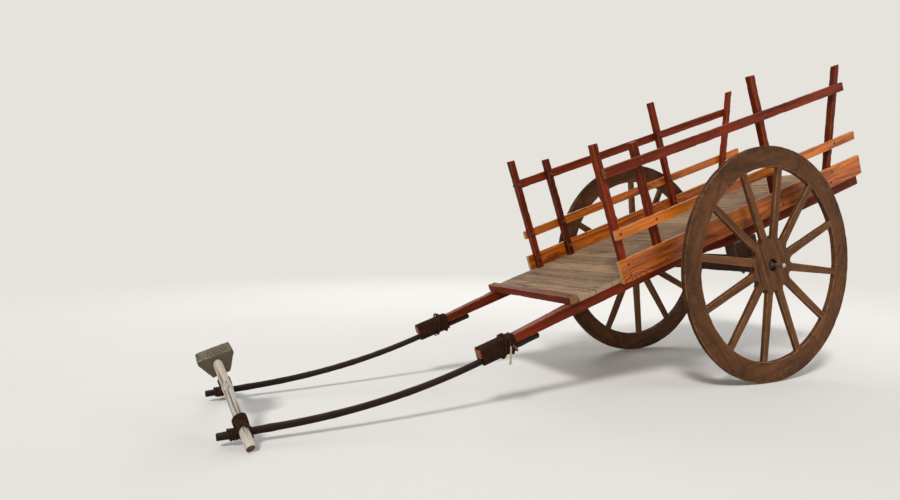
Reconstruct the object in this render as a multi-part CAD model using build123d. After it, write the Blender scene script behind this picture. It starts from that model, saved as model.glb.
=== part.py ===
from build123d import *
import math
import os

# Two-wheeled bullock cart. Lengths in mm, angles in degrees.
# The cart is drawn level, x forward, y to its left, z up, with the axle's middle at zero.
# park() then tips it forward until the yoke's legs stand on the floor beside the wheels.

# wheels
wheel_r = 750.0
felloe_depth = 134.0
felloe_t = 32.0
felloe_count = 6
felloe_gap = 1.2
wheel_body_gap = 104.0
spoke_count = 12
spoke_t = 28.0
spoke_root_w = 54.0
spoke_tip_w = 43.0
hub_r = 165.0
hub_t = 40.0
nave_r = 74.0
nave_len = 52.0
hub_recess_r = 34.0
hub_recess_depth = 24.0
bush_wall = 6.0

# spoke tenons: width, thickness and depth in the hub and in the felloe
hub_tenon = (34.0, 18.0, 36.0)
felloe_tenon = (26.0, 14.0, 42.0)
tenon_fit = 0.15

# axle
axle_r = 15.0
axle_run = 0.1
axle_tail = 78.0
axle_end_r = 14.0
axle_end_gap = 2.0
axle_end_chamfer = 2.0
axle_fit = 0.2
axle_beam_w = 90.0
axle_beam_h = 90.0
washer_r = 42.0
washer_t = 5.0
washer_gap = 0.5
collar_r = 26.0
collar_t = 9.0
collar_gap = 1.0
linchpin_r = 3.5
linchpin_len = 50.0
linchpin_fit = 0.1

# bed
bed_front_x = 1362.0
bed_rear_x = -1250.0
board_count = 21
board_gap = 3.4
board_t = 25.0
deck_z = 262.0
body_half_w = 500.0
side_t = 26.0

# side timbers that run forward as shafts
shaft_inset = 9.0
shaft_w = 70.0
shaft_tip_w = 52.0
shaft_rear_x = -1243.0
shaft_front_x = 2030.0
shaft_rear_z = 176.0
shaft_mid_z = 200.0
shaft_front_z = 195.0
shaft_tip_top_z = 243.0
shaft_step_x = (150.0, 330.0)
shaft_taper_x = (1000.0, 1560.0)

# bolsters between the axle beam and the shafts
bolster_len = 210.0
bolster_w = 84.0

# cross pieces: name, x of the middle, length along x, underside z, top z
cross_bearers = (
    ("rear", -1010.0, 70.0, 192.0, 262.0),
    ("middle", -420.0, 70.0, 192.0, 262.0),
    ("fore", 760.0, 70.0, 202.0, 262.0),
)
front_beam_x = (1364.0, 1420.0)
front_beam_h = 46.0

# side rails: x of the rear end, x of the front end, underside z, top z
side_rails = {
    "side_plank": (-1258.0, 1050.0, 250.0, 387.0),
    "narrow_rail": (-1250.0, 1020.0, 506.0, 566.0),
    "top_rail": (-1227.0, 990.0, 866.0, 926.0),
}

# stakes of one side: name, x at the foot, x at the top, top z
stake_w = 42.0
stake_notch = 1.0
stakes = (
    ("front", 985.0, 985.0, 1075.0),
    ("fore", 703.0, 703.0, 1010.0),
    ("middle", -382.0, -382.0, 1166.0),
    ("rear", -905.0, -1252.0, 1052.0),
)

# curved poles lashed under the shafts: straight, one long bend, straight
pole_r = 18.0
pole_rear_x = 1650.0
pole_bend_r = 3800.0
pole_corner_x = 2577.0
pole_toe_in = 28.0
pole_front_x = 3338.0
pole_front_z = 379.0
lash_x = (1800.0, 2045.0)
lash_t = 11.0
lash_fit = 0.4

# yoke
yoke_x = 3222.0
leg_r = 23.0
leg_len = 552.0
leg_top_y = 84.0
leg_top_z = 634.0
leg_on_pole = 0.5
leg_fit = 0.3
crown_len_top = 172.0
crown_len_low = 84.0
crown_z = (566.0, 668.0)
crown_half_w = 112.0
neck_r = 150.0
neck_z = 440.0
yoke_rope = 10.0
yoke_rope_fit = 0.3
leg_binding = (46.0, 19.0)
pole_binding = (6.0, 50.0)

# places that follow from the sizes
plank_inner_y = body_half_w - side_t
shaft_outer_y = plank_inner_y - shaft_inset
shaft_inner_y = shaft_outer_y - shaft_w
shaft_y = (shaft_outer_y + shaft_inner_y) / 2
wheel_inner_y = body_half_w + wheel_body_gap
wheel_outer_y = wheel_inner_y + felloe_t

os.makedirs("parts", exist_ok=True)


def block(x0, x1, y0, y1, z0, z1):
    return Pos((x0 + x1) / 2, (y0 + y1) / 2, (z0 + z1) / 2) * Box(x1 - x0, y1 - y0, z1 - z0)


def prism_xz(points, y0, y1):
    """Solid between y0 and y1 with the outline given by its (x, z) corners."""
    face = make_face(Polyline(*[(x, y0, z) for x, z in points], close=True).edges())
    return extrude(face, amount=y1 - y0, dir=(0, 1, 0))


def rod(start, end, radius):
    axis = Vector(*end) - Vector(*start)
    plane = Plane(origin=start, z_dir=axis)
    return extrude(plane * Circle(radius), amount=axis.length)


def disc_y(radius, y0, y1):
    """Round solid about the axle line, from y0 to y1."""
    return Pos(0, (y0 + y1) / 2, 0) * Rot(90, 0, 0) * Cylinder(radius, abs(y1 - y0))


def mirror_y(shape):
    return mirror(shape, about=Plane.XZ)


# The pole is sunk under the shaft by its own radius; past the corner it rises to the yoke.
pole_z = shaft_front_z - pole_r - lash_fit
pole_rear = Vector(pole_rear_x, shaft_y, pole_z)
pole_corner = Vector(pole_corner_x, shaft_y, pole_z)
pole_end = Vector(pole_front_x, shaft_y - pole_toe_in, pole_front_z)
pole_dir = (pole_end - pole_corner).normalized()
pole_at_yoke = pole_corner + pole_dir * ((yoke_x - pole_corner_x) / pole_dir.X)

# Each yoke leg lies on top of its pole, so its slope is found from the gap between the two.
leg_top = Vector(yoke_x, leg_top_y, leg_top_z)


def leg_direction(angle):
    a = math.radians(angle)
    return Vector(0, math.cos(a), -math.sin(a))


def leg_above_pole(angle):
    across = leg_direction(angle).cross(pole_dir).normalized()
    return abs((pole_at_yoke - leg_top).dot(across)) - leg_r - pole_r


low, high = 0.0, math.degrees(math.atan2(leg_top.Z - pole_at_yoke.Z, pole_at_yoke.Y - leg_top.Y))
for _ in range(60):
    leg_angle = (low + high) / 2
    if leg_above_pole(leg_angle) > leg_on_pole:
        low = leg_angle
    else:
        high = leg_angle
leg_axis = leg_direction(leg_angle)
leg_end = leg_top + leg_axis * leg_len
leg_contact = (pole_at_yoke - leg_top).dot(leg_axis)


def leg_low_point(angle):
    """Height of the leg's lower rim above the axle once the cart is tipped forward."""
    a = math.radians(angle)
    z = leg_end.Z * math.cos(a) - leg_end.X * math.sin(a)
    tilt = leg_axis.Z * math.cos(a)
    return z - leg_r * math.sqrt(1 - tilt * tilt)


# Parked: the cart is tipped about its axle until that rim is down on the floor with the wheels.
low, high = 5.0, 40.0
for _ in range(60):
    park_angle = (low + high) / 2
    if leg_low_point(park_angle) > -wheel_r:
        low = park_angle
    else:
        high = park_angle

nodes = {}

# Wheels. The left one is drawn and turned to its own spoke angle; the right one is its mirror image.
wheel_phase = {"left": 6.4, "right": 16.0}
felloe_r = wheel_r - felloe_depth
wheel_mid_y = wheel_outer_y - felloe_t / 2
hub_inner_y = wheel_outer_y - hub_t
nave_inner_y = hub_inner_y - nave_len
bore_r = axle_r + axle_run
recess_y = wheel_outer_y - hub_recess_depth

felloe_ring = disc_y(wheel_r, wheel_inner_y, wheel_outer_y) - disc_y(felloe_r, wheel_inner_y, wheel_outer_y)
half_gap = felloe_gap / 2
felloe_cuts = []
for i in range(felloe_count):
    turn = 15 + i * 360 / felloe_count
    cut = Rot(0, turn, 0) * block(-half_gap, half_gap, wheel_inner_y - 1, wheel_outer_y + 1, felloe_r - 5, wheel_r + 5)
    felloe_cuts.append(cut)
felloes = felloe_ring - felloe_cuts


def tenon(size, r0, r1, fit):
    """Tenon of a spoke that points up, or its mortise with a fit above zero."""
    half_w = size[0] / 2 + fit
    half_t = size[1] / 2 + fit
    return block(-half_w, half_w, wheel_mid_y - half_t, wheel_mid_y + half_t, r0, r1)


spoke_outline = [
    (-spoke_root_w / 2, hub_r - 20),
    (spoke_root_w / 2, hub_r - 20),
    (spoke_tip_w / 2, felloe_r + 10),
    (-spoke_tip_w / 2, felloe_r + 10),
]
spoke_y0 = wheel_mid_y - spoke_t / 2
spoke_y1 = wheel_mid_y + spoke_t / 2
spoke_blank = prism_xz(spoke_outline, spoke_y0, spoke_y1)
spoke_blank = spoke_blank & disc_y(felloe_r, spoke_y0 - 1, spoke_y1 + 1)
spoke_blank = spoke_blank - disc_y(hub_r, spoke_y0 - 1, spoke_y1 + 1)
root_r = hub_r - hub_tenon[2]
tip_r = felloe_r + felloe_tenon[2]
spoke_blank = spoke_blank + tenon(hub_tenon, root_r, hub_r + 5, 0) + tenon(felloe_tenon, felloe_r - 5, tip_r, 0)
spoke_turns = [i * 360 / spoke_count for i in range(spoke_count)]
spokes = Compound([Rot(0, turn, 0) * spoke_blank for turn in spoke_turns])

hub_mortises = [Rot(0, turn, 0) * tenon(hub_tenon, root_r - 1, hub_r + 5, tenon_fit) for turn in spoke_turns]
felloe_mortises = [Rot(0, turn, 0) * tenon(felloe_tenon, felloe_r - 5, tip_r + 1, tenon_fit) for turn in spoke_turns]
felloes = felloes - felloe_mortises

hub = disc_y(hub_r, hub_inner_y, wheel_outer_y) + disc_y(nave_r, nave_inner_y, hub_inner_y) - hub_mortises
hub = hub - disc_y(hub_recess_r, recess_y, wheel_outer_y + 1)
hub = hub - disc_y(bore_r + bush_wall, nave_inner_y - 1, wheel_outer_y)
bush = disc_y(bore_r + bush_wall, nave_inner_y, recess_y) - disc_y(bore_r, nave_inner_y - 1, recess_y + 1)

for side, phase in wheel_phase.items():
    for name, shape in (("felloes", felloes), ("spokes", spokes), ("hub", hub), ("bush", bush)):
        turned = Rot(0, phase, 0) * shape
        nodes[side + "_wheel_" + name] = turned if side == "left" else mirror_y(turned)

# Axle: one round bar through a square timber, held to the wheels by washers, collars and linchpins.
beam_end_y = nave_inner_y - washer_gap * 2 - washer_t
axle_end_y = wheel_outer_y + axle_tail
collar_y = recess_y + collar_gap
linchpin_y = collar_y + collar_t + linchpin_r + 0.5

axle_beam = block(-axle_beam_w / 2, axle_beam_w / 2, -beam_end_y, beam_end_y, -axle_beam_h / 2, axle_beam_h / 2)
axle_beam = chamfer(axle_beam.edges().filter_by(Axis.Y), 5)
nodes["axle_beam"] = axle_beam - disc_y(axle_r + axle_fit, -beam_end_y - 1, beam_end_y + 1)

shoulder_y = wheel_outer_y + axle_end_gap
axle_bar = disc_y(axle_end_r, -axle_end_y, axle_end_y)
axle_bar = chamfer(axle_bar.edges().filter_by(GeomType.CIRCLE), axle_end_chamfer)
axle_bar = axle_bar + disc_y(axle_r, -shoulder_y, shoulder_y)
for side in (1, -1):
    axle_bar = axle_bar - Pos(0, side * linchpin_y, 0) * Cylinder(linchpin_r + linchpin_fit, 4 * axle_r)
nodes["axle_bar"] = axle_bar

washer = disc_y(washer_r, beam_end_y, beam_end_y + washer_t) - disc_y(axle_r + axle_fit, beam_end_y - 1, nave_inner_y)
nodes["axle_washers"] = Compound([washer, mirror_y(washer)])
collar = disc_y(collar_r, collar_y, collar_y + collar_t) - disc_y(axle_r + axle_fit, collar_y - 1, collar_y + collar_t + 1)
nodes["axle_collars"] = Compound([collar, mirror_y(collar)])
linchpin = Pos(0, linchpin_y, 0) * Cylinder(linchpin_r, linchpin_len)
nodes["axle_linchpins"] = Compound([linchpin, mirror_y(linchpin)])

# Shafts: one timber a side, from the tail to the pole lashing.
shaft_outline = [
    (shaft_rear_x, shaft_rear_z),
    (shaft_step_x[0], shaft_rear_z),
    (shaft_step_x[1], shaft_mid_z),
    (shaft_taper_x[0], shaft_mid_z),
    (shaft_taper_x[1], shaft_front_z),
    (shaft_front_x, shaft_front_z),
    (shaft_front_x, shaft_tip_top_z),
    (lash_x[0], shaft_tip_top_z),
    (front_beam_x[1], deck_z),
    (shaft_rear_x, deck_z),
]
shaft = prism_xz(shaft_outline, shaft_inner_y, shaft_outer_y)
taper = (shaft_w - shaft_tip_w) / 2
plan = Polyline(
    (shaft_rear_x - 5, shaft_inner_y, 0),
    (shaft_taper_x[0], shaft_inner_y, 0),
    (shaft_taper_x[1], shaft_inner_y + taper, 0),
    (shaft_front_x + 5, shaft_inner_y + taper, 0),
    (shaft_front_x + 5, shaft_outer_y - taper, 0),
    (shaft_taper_x[1], shaft_outer_y - taper, 0),
    (shaft_taper_x[0], shaft_outer_y, 0),
    (shaft_rear_x - 5, shaft_outer_y, 0),
    close=True,
)
shaft = shaft & extrude(make_face(plan.edges()), amount=deck_z * 2, dir=(0, 0, 1))

# Bolsters stand on the axle beam and carry the shafts.
bolster = prism_xz(
    [
        (-bolster_len / 2, axle_beam_h / 2),
        (bolster_len / 2, axle_beam_h / 2),
        (bolster_len / 2, shaft_rear_z),
        (-bolster_len / 2, shaft_rear_z),
    ],
    shaft_y - bolster_w / 2,
    shaft_y + bolster_w / 2,
)
bolster = chamfer(bolster.edges().filter_by(Axis.Z), 6)

# Cross bearers fit between the shafts, and the front beam lies across them.
bearers = [block(x - w / 2, x + w / 2, -shaft_inner_y, shaft_inner_y, z0, z1) for _, x, w, z0, z1 in cross_bearers]
nodes["cross_bearers"] = Compound(bearers)
front_beam = block(front_beam_x[0], front_beam_x[1], -plank_inner_y, plank_inner_y, deck_z, deck_z + front_beam_h)
nodes["front_cross_beam"] = chamfer(front_beam.edges().filter_by(Axis.Y), 4)

# Side rails lie against the outer faces of the stakes.
sides = {"shaft": shaft, "bolster": bolster}
for name, (x0, x1, z0, z1) in side_rails.items():
    rail = block(x0, x1, plank_inner_y, body_half_w, z0, z1)
    sides[name] = chamfer(rail.edges().filter_by(Axis.X), 2)

# Stakes pass through notches in the boards and stand on the shafts.


def stake_bar(foot_x, top_x, top_z, spare):
    half = stake_w / 2 + spare
    lean = (top_x - foot_x) / (top_z - deck_z - board_t)
    low_x = foot_x - lean * board_t
    corners = [
        (low_x - half, deck_z),
        (low_x + half, deck_z),
        (top_x + half, top_z),
        (top_x - half, top_z),
    ]
    return prism_xz(corners, plank_inner_y - stake_w - spare, plank_inner_y + spare)


stake_bars = [stake_bar(foot_x, top_x, top_z, 0) for _, foot_x, top_x, top_z in stakes]
sides["stakes"] = Compound(stake_bars)
notches = [stake_bar(foot_x, top_x, top_z, stake_notch) for _, foot_x, top_x, top_z in stakes]
notches = notches + [mirror_y(notch) for notch in notches]

pitch = (bed_front_x - bed_rear_x) / board_count
boards = []
for i in range(board_count):
    x0 = bed_rear_x + i * pitch
    boards.append(block(x0, x0 + pitch - board_gap, -plank_inner_y, plank_inner_y, deck_z, deck_z + board_t))
nodes["deck_boards"] = Compound([board - notches for board in boards])

# Poles: round, one long upward bend towards the yoke.
pole_line = FilletPolyline(pole_rear, pole_corner, pole_end, radius=pole_bend_r)
sides["pole"] = sweep(Plane(origin=pole_rear, z_dir=(1, 0, 0)) * Circle(pole_r), path=pole_line)

# Rope bound round the shaft end and the pole.
sleeve_y0 = shaft_y - shaft_tip_w / 2 - lash_fit
sleeve_y1 = shaft_y + shaft_tip_w / 2 + lash_fit
sleeve_z1 = shaft_tip_top_z + lash_fit
core = block(lash_x[0], lash_x[1], sleeve_y0, sleeve_y1, shaft_front_z, sleeve_z1)
channel_w = pole_r + lash_fit
core_low = block(lash_x[0], lash_x[1], shaft_y - channel_w, shaft_y + channel_w, pole_z - channel_w, shaft_front_z + 1)
core = core + core_low
jacket = block(
    lash_x[0],
    lash_x[1],
    sleeve_y0 - lash_t,
    sleeve_y1 + lash_t,
    pole_z - channel_w - lash_t,
    sleeve_z1 + lash_t,
)
jacket = fillet(jacket.edges().filter_by(Axis.X), 16)
sides["shaft_lashing"] = jacket - core

# Yoke legs: straight rods from the crown, over the poles and out past them.
sides["yoke_leg"] = rod(leg_top, leg_end, leg_r)


def binding(start, direction, inner_r):
    """Turns of rope round a rod, as one sleeve."""
    finish = start + direction
    return rod(start, finish, inner_r + yoke_rope) - rod(start - direction, finish + direction, inner_r)


leg_turns = binding(
    leg_top + leg_axis * (leg_contact - leg_binding[0]),
    leg_axis * (leg_binding[0] - leg_binding[1]),
    leg_r + yoke_rope_fit,
)
pole_turns = binding(
    pole_at_yoke + pole_dir * (leg_r + pole_binding[0]),
    pole_dir * (pole_binding[1] - pole_binding[0]),
    pole_r + yoke_rope_fit,
)
bindings = [leg_turns, pole_turns]
nodes["yoke_lashings"] = Compound(bindings + [mirror_y(turns) for turns in bindings])

for name, shape in sides.items():
    nodes["left_" + name] = shape
    nodes["right_" + name] = mirror_y(shape)

# Yoke crown: a hewn saddle block, wider above, hollowed below for the neck, bored for both legs.
half_top, half_low = crown_len_top / 2, crown_len_low / 2
crown = prism_xz(
    [
        (yoke_x - half_low, crown_z[0]),
        (yoke_x + half_low, crown_z[0]),
        (yoke_x + half_top, crown_z[1] - 22),
        (yoke_x + half_top, crown_z[1]),
        (yoke_x - half_top, crown_z[1]),
        (yoke_x - half_top, crown_z[1] - 22),
    ],
    -crown_half_w,
    crown_half_w,
)
crown = crown - Pos(yoke_x, 0, neck_z) * Rot(0, 90, 0) * Cylinder(neck_r, crown_len_top * 2)
socket = rod(leg_top - leg_axis * leg_fit, leg_top + leg_axis * crown_half_w * 2, leg_r + leg_fit)
nodes["yoke_crown"] = crown - socket - mirror_y(socket)


def park(shape):
    return Rot(0, park_angle, 0) * shape


nodes = {name: park(shape) for name, shape in nodes.items()}
boxes = [shape.bounding_box() for shape in nodes.values()]
x_min = min(b.min.X for b in boxes)
x_max = max(b.max.X for b in boxes)
shift = Pos(-(x_min + x_max) / 2, 0, wheel_r)
for name, shape in nodes.items():
    export_step(shift * shape, "parts/" + name + ".step")

print("park angle", round(park_angle, 4), "axle at", round(-(x_min + x_max) / 2, 3), wheel_r, "nodes", len(nodes))
print("length", round(x_max - x_min, 1))
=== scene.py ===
import math
import random
import bmesh
import bpy
from mathutils import Matrix, Vector, noise


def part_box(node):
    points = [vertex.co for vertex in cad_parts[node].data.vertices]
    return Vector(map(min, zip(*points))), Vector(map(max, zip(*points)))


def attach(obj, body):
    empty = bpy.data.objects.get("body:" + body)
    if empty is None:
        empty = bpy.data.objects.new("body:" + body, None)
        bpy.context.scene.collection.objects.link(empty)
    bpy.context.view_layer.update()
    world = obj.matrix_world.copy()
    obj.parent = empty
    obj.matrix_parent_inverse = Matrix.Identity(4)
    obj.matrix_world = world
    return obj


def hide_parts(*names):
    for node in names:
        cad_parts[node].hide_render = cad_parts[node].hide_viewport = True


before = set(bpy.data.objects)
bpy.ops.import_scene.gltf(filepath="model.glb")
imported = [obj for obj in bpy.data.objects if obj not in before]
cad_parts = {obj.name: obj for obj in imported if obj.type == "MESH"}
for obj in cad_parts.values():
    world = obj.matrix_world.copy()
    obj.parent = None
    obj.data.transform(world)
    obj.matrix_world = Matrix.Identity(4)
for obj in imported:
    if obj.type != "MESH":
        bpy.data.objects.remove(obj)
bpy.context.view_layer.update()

# Studio. The camera stands to the left of the cart, ahead of its wheels and lower than its top rails, and
# looks back at it. A wide pale bowl takes the place of the ground and the sky.
camera_place = Vector((2.362, 3.264, 0.952))
camera_heading = math.radians(155.03)
camera_pitch = math.radians(-1.6)
camera_lens = 24.4
bowl_floor_r = 10.5
bowl_wall_r = 14.0
bowl_height = 5.0
bowl_bends = 12
bowl_sides = 96
sun_way = Vector((-0.50, -0.48, -0.72))


def srgb(red, green, blue):
    """A colour as an eye reads it, 0 to 255, turned into the renderer's own figures."""
    parts = [c / 255 for c in (red, green, blue)]
    parts = [c / 12.92 if c <= 0.04045 else ((c + 0.055) / 1.055) ** 2.4 for c in parts]
    return (*parts, 1.0)


class Nodes:
    """A tree of material nodes, with short ways to add to it. All take numbers or nodes' outputs."""

    def __init__(self, tree):
        self.tree = tree

    def wire(self, made, sockets):
        """Sets a node's sockets to values, or wires them where the value is another node's output."""
        for key, value in dict(sockets).items():
            if isinstance(value, bpy.types.NodeSocket):
                self.tree.links.new(value, made.inputs[key])
            else:
                made.inputs[key].default_value = value

    def add(self, kind, sockets=(), **settings):
        made = self.tree.nodes.new("ShaderNode" + kind)
        for key, value in settings.items():
            setattr(made, key, value)
        self.wire(made, sockets)
        return made

    def calc(self, operation, first, second=0.0, third=0.0, clamp=False):
        sockets = {0: first, 1: second, 2: third}
        return self.add("Math", sockets, operation=operation, use_clamp=clamp).outputs[0]

    def plus(self, first, second, clamp=False):
        return self.calc("ADD", first, second, clamp=clamp)

    def times(self, first, second):
        return self.calc("MULTIPLY", first, second)

    def times_plus(self, first, second, third, clamp=False):
        return self.calc("MULTIPLY_ADD", first, second, third, clamp)

    def scaled(self, vector, by):
        return self.add("VectorMath", {0: vector, 1: by}, operation="MULTIPLY").outputs[0]

    def length(self, vector):
        return self.add("VectorMath", {0: vector}, operation="LENGTH").outputs[1]

    def mark(self, name):
        """A figure that the mesh itself carries."""
        return self.add("Attribute", attribute_name=name).outputs["Fac"]

    def mix(self, amount, first, second):
        return self.add("Mix", {0: amount, 6: first, 7: second}, data_type="RGBA").outputs[2]

    def ramp(self, value, *stops):
        """Turns a value into grey levels through the given (place, level) stops."""
        made = self.add("ValToRGB", {0: value})
        marks = made.color_ramp.elements
        while len(marks) < len(stops):
            marks.new(0.5)
        for mark, (place, level) in zip(marks, stops):
            mark.position = place
            mark.color = (level, level, level, 1.0)
        return made.outputs[0]

    def clouds(self, coords, along, across, detail=3.0, roughness=0.55):
        """Noise with so many lumps to the metre along the first axis and across it."""
        place = self.add("Mapping", {0: coords, 3: (along, across, across)}).outputs[0]
        sockets = {"Vector": place, "Scale": 1.0, "Detail": detail, "Roughness": roughness}
        return self.add("TexNoise", sockets).outputs[0]

    def bump(self, height, strength, distance):
        sockets = {"Strength": strength, "Distance": distance, "Height": height}
        return self.add("Bump", sockets).outputs[0]

    def haze(self, lit, amount, output):
        """Shows one even tone in place of what is lit, to the eye and to gloss alone, by an amount."""
        ray = self.add("LightPath")
        looked_at = self.plus(ray.outputs["Is Camera Ray"], ray.outputs["Is Glossy Ray"], clamp=True)
        tone = self.add("Emission", {0: srgb(230, 227, 221), 1: 1.0}).outputs[0]
        blend = self.add("MixShader", {0: self.times(amount, looked_at), 1: lit, 2: tone})
        self.tree.links.new(blend.outputs[0], output)


def new_material(name):
    """A blank material: itself, its nodes, its shader, and the place of each point on its object."""
    material = bpy.data.materials.new(name)
    material.use_nodes = True
    nodes = Nodes(material.node_tree)
    nodes.tree.nodes.clear()
    shader = nodes.add("BsdfPrincipled")
    nodes.add("OutputMaterial", {0: shader.outputs[0]})
    return material, nodes, shader, nodes.add("TexCoord").outputs["Object"]


def add_object(name, data):
    made = bpy.data.objects.new(name, data)
    bpy.context.scene.collection.objects.link(made)
    return made


def aimed(way):
    """The turn that points a lamp along a way."""
    return way.to_track_quat("-Z", "Y").to_euler()


def lathe(bm, outline, axis, steps, weld):
    """A round piece about an axis, from the corners of its outline on one side."""
    corners = [bm.verts.new(corner) for corner in outline]
    lines = [bm.edges.new(pair) for pair in zip(corners, corners[1:])]
    around = {"cent": (0, 0, 0), "axis": axis, "angle": math.tau, "steps": steps, "use_merge": True}
    bmesh.ops.spin(bm, geom=corners + lines, **around)
    bmesh.ops.remove_doubles(bm, verts=bm.verts, dist=weld)
    bmesh.ops.recalc_face_normals(bm, faces=bm.faces)


plaster, nodes, shader, coords = new_material("pale_plaster")
patches = nodes.mix(nodes.clouds(coords, 0.5, 0.5), srgb(226, 224, 220), srgb(232, 230, 227))
nodes.wire(shader, {"Base Color": patches, "Roughness": 0.92, "Specular IOR Level": 0.2})
distant = nodes.ramp(nodes.calc("DIVIDE", nodes.length(coords), bowl_wall_r), (0.34, 0.0), (0.74, 1.0))
nodes.haze(shader.outputs[0], distant, nodes.tree.nodes["Material Output"].inputs[0])

bowl = bmesh.new()
bowl_line = [(0, 0, 0), (bowl_floor_r, 0, 0)]
bend_r = bowl_wall_r - bowl_floor_r
for i in range(1, bowl_bends + 1):
    turn = math.radians(90 * i / bowl_bends)
    bowl_line.append((bowl_floor_r + bend_r * math.sin(turn), 0, bend_r * (1 - math.cos(turn))))
bowl_line.append((bowl_wall_r, 0, bowl_height))
lathe(bowl, bowl_line, (0, 0, 1), bowl_sides, 0.0005)
floor_mesh = bpy.data.meshes.new("floor")
bowl.to_mesh(floor_mesh)
bowl.free()
floor_mesh.shade_smooth()
floor_mesh.materials.append(plaster)
add_object("floor", floor_mesh)

camera_data = bpy.data.cameras.new("camera")
camera_data.sensor_width = 36.0
camera_data.lens = camera_lens
camera = add_object("camera", camera_data)
camera.location = camera_place
camera.rotation_euler = (math.pi / 2 + camera_pitch, 0, camera_heading)
bpy.context.scene.camera = camera

# place, aim, size and power of each soft lamp
lamps = {
    "fill_lamp": ((-6.5, 7.0, 5.0), (-0.5, 0, 0.8), 5.0, 190.0),
    "back_lamp": ((-2.0, -8.0, 6.5), (0, 0, 0.8), 5.0, 200.0),
}
for name, (place, aim, size, power) in lamps.items():
    lamp_data = bpy.data.lights.new(name, "AREA")
    lamp_data.size = size
    lamp_data.energy = power
    lamp = add_object(name, lamp_data)
    lamp.location = place
    lamp.rotation_euler = aimed(Vector(aim) - Vector(place))

key_data = bpy.data.lights.new("key_lamp", "SUN")
key_data.energy = 2.0
key_data.angle = math.radians(11)
key_data.color = (1.0, 0.985, 0.96)
add_object("key_lamp", key_data).rotation_euler = aimed(sun_way)

sky = bpy.data.worlds.new("sky")
sky.use_nodes = True
nodes = Nodes(sky.node_tree)
daylight = nodes.tree.nodes["Background"]
nodes.wire(daylight, {"Color": (0.99, 0.995, 1.0, 1.0), "Strength": 0.42})
nodes.haze(daylight.outputs[0], 1.0, nodes.tree.nodes["World Output"].inputs["Surface"])
bpy.context.scene.world = sky
bpy.context.scene.view_settings.view_transform = "Standard"

# Felloes. Six sawn boards to a wheel, butted end to end into a ring, with the corners taken off by a
# spokeshave. The wood is dull brown, with a paler rubbed line along its edges.
park_angle = math.radians(18.5457)
rim_low, rim_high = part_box("left_wheel_felloes")
wheel_r = (rim_high.z - rim_low.z) / 2
axle_place = Vector(((rim_low.x + rim_high.x) / 2, 0, (rim_low.z + rim_high.z) / 2))
parked = Matrix.Translation(axle_place) @ Matrix.Rotation(park_angle, 4, "Y")
level = parked.inverted()
# degrees that each wheel's spokes are turned from upright
spoke_turn = {"left": 6.4, "right": 16.0}
felloe_count = 6
felloe_depth = 0.134
felloe_arris = 0.004
felloe_cuts = 44
first_butt = 15
butt_gap = 0.06
splash_depth = 0.034
forward = Vector((1, 0, 0))
sideways = Vector((0, 1, 0))
upward = Vector((0, 0, 1))
noise_seed = 6

# left alone, Blender seeds its noise vectors by the clock, and every run would hew the timbers differently
noise.seed_set(noise_seed)


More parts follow.
